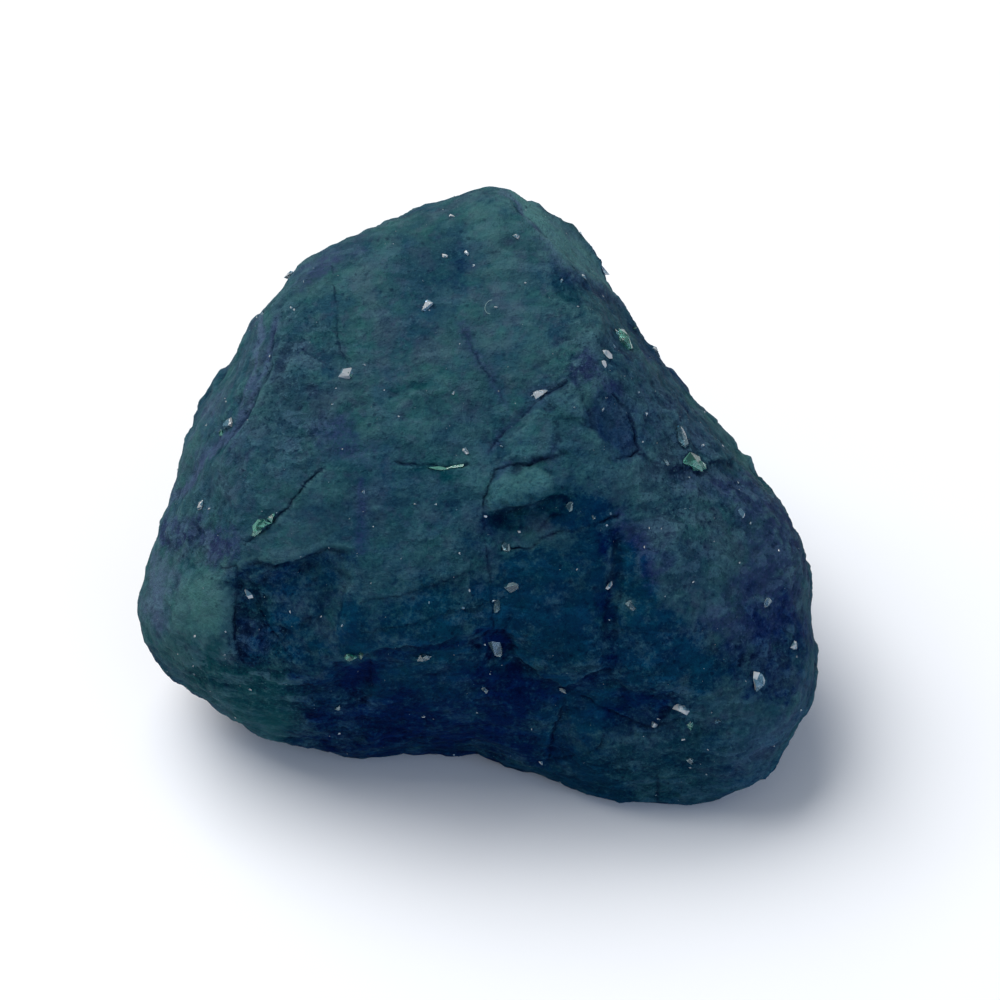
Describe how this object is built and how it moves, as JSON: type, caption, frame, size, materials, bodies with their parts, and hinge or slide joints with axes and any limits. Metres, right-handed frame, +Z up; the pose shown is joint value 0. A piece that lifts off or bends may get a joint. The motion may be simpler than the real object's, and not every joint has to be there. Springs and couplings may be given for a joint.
{
  "type": "raw emerald",
  "caption": "Rough natural emerald lump, dark blue-green, with worn broken faces, flake ledges, open cracks and small clear chips in its skin, lying on a flat broken base.",
  "frame": {"origin": "under the middle of the stone's box, on the surface that it lies on", "axes": "+Z up, +X to the right along the stone's widest side as seen from its front, -Y towards its front"},
  "size_m": [0.0448, 0.032, 0.0302],
  "materials": {
    "emerald": "rough broken stone",
    "clear_chips": "clear broken crystal"
  },
  "bodies": {
    "root": {"emerald": "emerald"}
  },
  "joints": []
}
